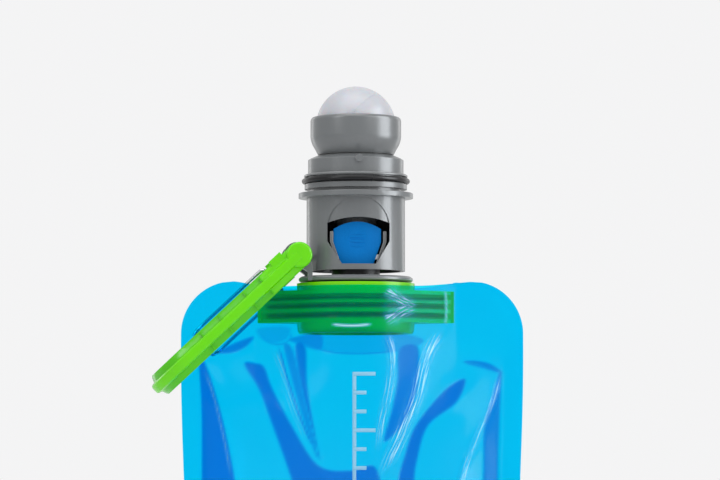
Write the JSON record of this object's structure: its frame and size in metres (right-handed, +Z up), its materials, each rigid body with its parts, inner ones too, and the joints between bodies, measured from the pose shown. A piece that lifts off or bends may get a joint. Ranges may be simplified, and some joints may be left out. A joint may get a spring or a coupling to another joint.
{
  "type": "folding water bottle",
  "caption": "Flexible stand-up water pouch with a welded neck, a quick-release head with a push button and roller ball, and a folding carabiner.",
  "frame": {"origin": "on the standing surface, under the middle of the neck, in the plane where the two films meet", "axes": "+Z up along the neck, -Y out of the face with the push button, -X towards the side where the carabiner hangs"},
  "size_m": [0.1412, 0.0594, 0.2898],
  "materials": {
    "film": "clear cyan laminated film",
    "green_plastic": "glossy moulded green",
    "lime_plastic": "glossy moulded lime green",
    "grey_plastic": "satin moulded grey",
    "black_plastic": "satin moulded black",
    "blue_plastic": "satin moulded blue",
    "ball_plastic": "frosted translucent polypropylene",
    "steel": "polished stainless wire",
    "black_rubber": "smooth black silicone",
    "clear_silicone": "smooth milky silicone"
  },
  "bodies": {
    "bottle": {"pouch_front_film": "film", "pouch_back_film": "film", "bottom_gusset": "film", "neck_fitment": "green_plastic", "swivel_washer": "black_rubber"},
    "ring": {"carabiner_ring": "grey_plastic", "hinge_pin": "steel"},
    "carabiner": {"carabiner_frame": "lime_plastic"},
    "gate": {"wire_gate": "steel"},
    "thread_follower": {"neck_seal": "clear_silicone"},
    "screw_adaptor": {"screw_base": "grey_plastic", "spigot": "black_plastic", "spigot_retainer": "steel", "spigot_o_ring": "black_rubber"},
    "head": {"housing": "grey_plastic", "button_guide": "grey_plastic", "latch_spring": "steel", "flow_core": "grey_plastic", "valve_spring": "steel", "valve_cage": "grey_plastic", "collar_core": "grey_plastic", "cover_o_ring": "black_rubber", "cup_seal": "clear_silicone", "ball_cup": "grey_plastic"},
    "button": {"release_button": "blue_plastic"},
    "latch": {"latch_plate": "steel"},
    "valve": {"valve_poppet": "clear_silicone"},
    "ball": {"ball_half_left": "ball_plastic", "ball_half_right": "ball_plastic"}
  },
  "joints": [
    {"name": "ring_swivel", "type": "hinge", "parent": "bottle", "child": "ring", "pos_m": [0, 0, 0.2162], "axis": [0, 0, 1], "range_deg": [-8, 2]},
    {"name": "carabiner_fold", "type": "hinge", "parent": "ring", "child": "carabiner", "pos_m": [-0.02234, -0.0016, 0.2246], "axis": [-0.0715, 0.9974, 0], "range_deg": [0, 118]},
    {"name": "gate_open", "type": "hinge", "parent": "carabiner", "child": "gate", "pos_m": [-0.03185, 0.01376, 0.21673], "axis": [-0.6828, -0.0489, 0.729], "range_deg": [0, 10], "stiffness_Nm_per_rad": 0.15, "springref_deg": -8.59},
    {"name": "adaptor_rise", "type": "slide", "parent": "bottle", "child": "thread_follower", "axis": [0, 0, 1], "range_m": [0, 0.0135]},
    {"name": "adaptor_unscrew", "type": "hinge", "parent": "thread_follower", "child": "screw_adaptor", "pos_m": [0, 0, 0.2], "axis": [0, 0, 1], "range_deg": [0, 811]},
    {"name": "head_swivel", "type": "hinge", "parent": "screw_adaptor", "child": "head", "pos_m": [0, 0, 0.23], "axis": [0, 0, 1], "continuous": true},
    {"name": "button_press", "type": "slide", "parent": "head", "child": "button", "axis": [-0.0715, 0.9974, 0], "range_m": [0, 0.0022], "stiffness_N_per_m": 1500, "springref_m": -0.002},
    {"name": "latch_slide", "type": "slide", "parent": "head", "child": "latch", "axis": [-0.0715, 0.9974, 0], "range_m": [0, 0.0022], "deforming": ["latch_spring"]},
    {"name": "valve_lift", "type": "slide", "parent": "head", "child": "valve", "axis": [0, 0, 1], "range_m": [0, 0.0035], "stiffness_N_per_m": 300, "springref_m": -0.002, "deforming": ["valve_spring"]},
    {"name": "ball_roll", "type": "hinge", "parent": "head", "child": "ball", "pos_m": [0, 0, 0.2747], "axis": [1, 0, 0], "continuous": true}
  ],
  "couplings": [
    {"joint": "adaptor_unscrew", "follows": "adaptor_rise", "rad_per_m": 1047.2},
    {"joint": "latch_slide", "follows": "button_press", "ratio": 1}
  ]
}
